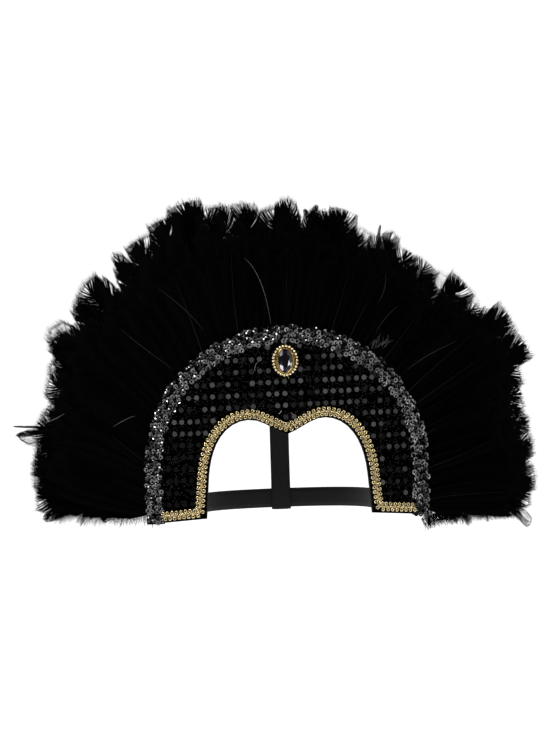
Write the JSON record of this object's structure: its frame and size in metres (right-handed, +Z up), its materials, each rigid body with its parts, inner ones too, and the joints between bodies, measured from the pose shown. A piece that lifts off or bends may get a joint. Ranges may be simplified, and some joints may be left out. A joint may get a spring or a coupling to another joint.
{
  "type": "carnival feather headdress",
  "caption": "Curved crown panel covered in black sequinned cloth, edged with gold braid and sequins, with a jewel, a fan of black feathers and elastic head straps.",
  "frame": {"origin": "middle of the head's hollow, level with the point of the widow's peak", "axes": "+Z up, -Y to the front, +X to the wearer's left"},
  "size_m": [0.531, 0.1914, 0.3498],
  "materials": {
    "black_felt": "matt stiff felt",
    "sequin_cloth": "black knit with flat dark sequin dots",
    "gold_braid": "metallic gold gimp braid",
    "black_sequins": "overlapping shiny black cup sequins",
    "gilt_beads": "polished gilt",
    "cut_stone": "faceted black acrylic",
    "black_elastic": "ribbed woven elastic",
    "black_feather": "soft near-black feather with a faint sheen"
  },
  "bodies": {
    "root": {"crown_board": "black_felt", "sequin_cloth": "sequin_cloth", "gold_braid": "gold_braid", "sequin_trim": "black_sequins", "gem_setting": "gilt_beads", "gem_stone": "cut_stone", "back_strap": "black_elastic", "crown_strap": "black_elastic", "feather_row_front": "black_feather", "feather_row_middle": "black_feather", "feather_row_back": "black_feather"}
  },
  "joints": []
}
